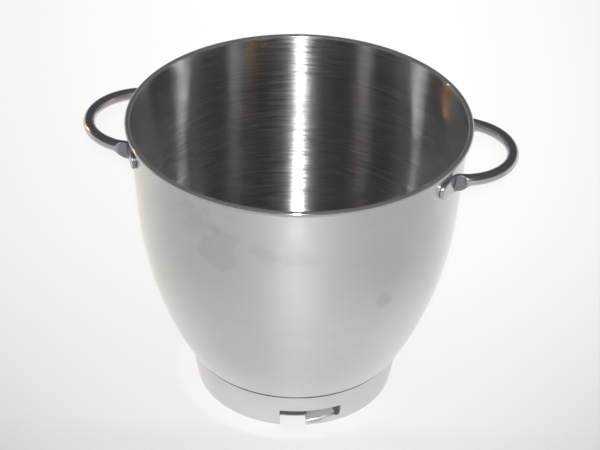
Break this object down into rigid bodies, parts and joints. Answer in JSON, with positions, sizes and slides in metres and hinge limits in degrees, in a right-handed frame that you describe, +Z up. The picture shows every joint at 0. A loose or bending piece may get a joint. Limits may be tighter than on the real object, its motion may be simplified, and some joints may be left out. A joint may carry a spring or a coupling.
{
  "type": "stand mixer bowl",
  "caption": "Deep round steel bowl with a rolled rim, a D-shaped rod handle on each side and a foot ring with bayonet slots.",
  "frame": {"origin": "on the bowl's axis, at the plane that the foot ring stands on", "axes": "+Z up along the bowl's axis; +X through the middle of the right-hand handle; the picture looks at the -Y side"},
  "size_m": [0.31, 0.245, 0.22],
  "materials": {
    "brushed_steel": "stainless steel with a fine grain round the bowl, satin outside",
    "satin_steel": "satin stainless steel",
    "polished_steel": "polished stainless steel"
  },
  "bodies": {
    "root": {"bowl": "brushed_steel", "foot_ring": "satin_steel", "handle_right": "polished_steel", "handle_left": "polished_steel"}
  },
  "joints": []
}
